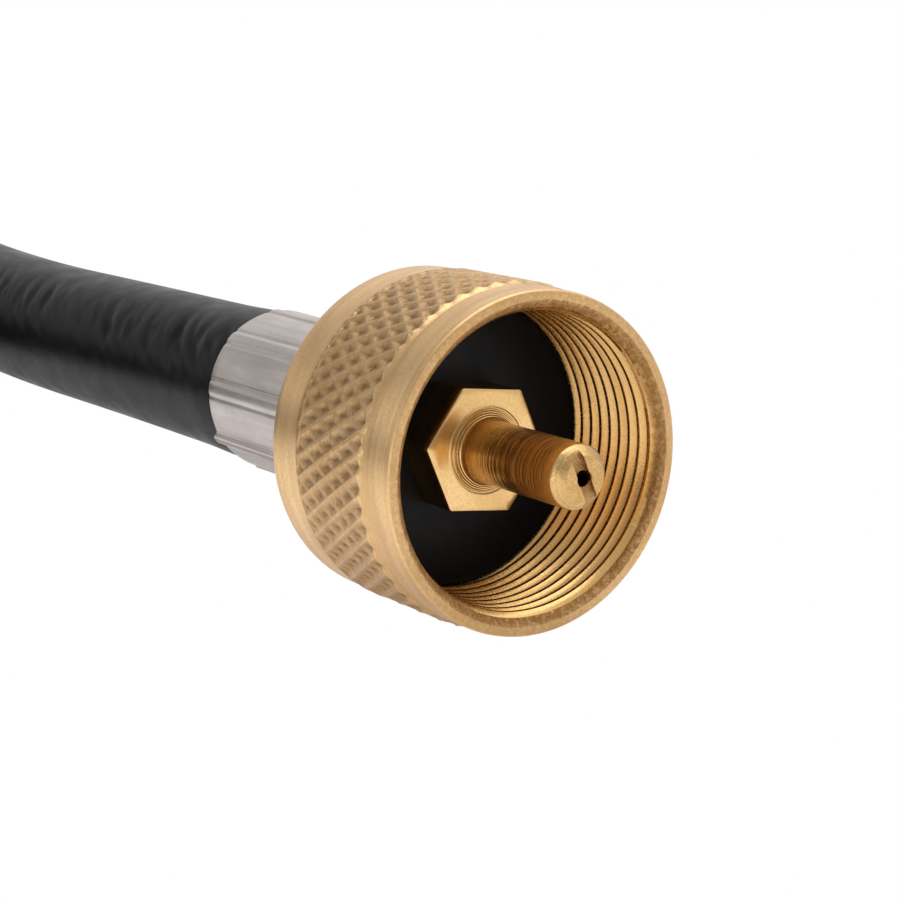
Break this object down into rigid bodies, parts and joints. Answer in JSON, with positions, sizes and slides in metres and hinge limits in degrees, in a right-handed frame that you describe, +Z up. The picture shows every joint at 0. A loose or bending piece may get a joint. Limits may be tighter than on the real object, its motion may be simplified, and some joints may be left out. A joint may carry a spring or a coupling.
{
  "type": "propane regulator hose",
  "caption": "Gas hose with a knurled brass cylinder nut and valve probe at one end and a small low-pressure regulator at the other, its length stored in a coil.",
  "frame": {"origin": "centre of the cylinder coupling's mouth, in the plane of the nut's front face", "axes": "+X out of the mouth along the swivel nut's axis, +Z up from the surface the hose lies on"},
  "size_m": [0.2549, 0.1951, 0.049],
  "materials": {
    "brass": "satin turned and knurled brass",
    "bright_brass": "machined brass",
    "black_rubber": "smooth moulded rubber",
    "hose_rubber": "satin extruded rubber with wrinkles",
    "stainless": "crimped satin stainless steel",
    "grey_casting": "grey painted zinc casting",
    "zinc_steel": "zinc-plated steel",
    "black_plastic": "moulded black plastic",
    "strap": "woven hook-and-loop strap"
  },
  "bodies": {
    "hose_assembly": {"seal_washer": "black_rubber", "valve_probe": "bright_brass", "swivel_stem": "bright_brass", "ferrule_nut_end": "stainless", "hose_run": "hose_rubber", "hose_coil": "hose_rubber", "hose_tail": "hose_rubber", "coil_ties": "strap", "ferrule_regulator_end": "stainless", "inlet_fitting": "bright_brass", "regulator_body": "grey_casting", "orifice": "bright_brass", "lever_pin": "zinc_steel", "diaphragm": "black_rubber", "bonnet": "grey_casting", "vent_screen": "stainless", "regulating_spring": "zinc_steel", "tower_cap": "black_plastic", "bonnet_screws": "zinc_steel", "outlet_fitting": "bright_brass"},
    "nut": {"coupling_nut": "brass"},
    "diaphragm_group": {"diaphragm_plate": "zinc_steel", "diaphragm_link": "zinc_steel"},
    "lever_arm": {"lever": "zinc_steel"},
    "valve": {"valve_slide": "bright_brass", "valve_disc": "black_rubber"},
    "screw": {"adjusting_screw": "black_plastic"}
  },
  "joints": [
    {"name": "nut_swivel", "type": "hinge", "parent": "hose_assembly", "child": "nut", "pos_m": [0, 0, 0], "axis": [1, 0, 0], "continuous": true},
    {"name": "diaphragm_lift", "type": "slide", "parent": "hose_assembly", "child": "diaphragm_group", "axis": [0, 0, 1], "range_m": [-0.0008, 0.00095], "stiffness_N_per_m": 1500, "deforming": ["regulating_spring", "diaphragm"]},
    {"name": "lever_pivot", "type": "hinge", "parent": "hose_assembly", "child": "lever_arm", "pos_m": [-0.0568, -0.152, -0.0081], "axis": [0, 1, 0], "range_deg": [-7.6, 6.5]},
    {"name": "valve_travel", "type": "slide", "parent": "hose_assembly", "child": "valve", "axis": [1, 0, 0], "range_m": [-0.00059, 0.0005]},
    {"name": "screw_setting", "type": "slide", "parent": "hose_assembly", "child": "screw", "axis": [0, 0, 1], "range_m": [-0.003, 0.0015]}
  ],
  "couplings": [
    {"joint": "lever_pivot", "follows": "diaphragm_lift", "rad_per_m": -133.33},
    {"joint": "valve_travel", "follows": "diaphragm_lift", "ratio": -0.6}
  ]
}
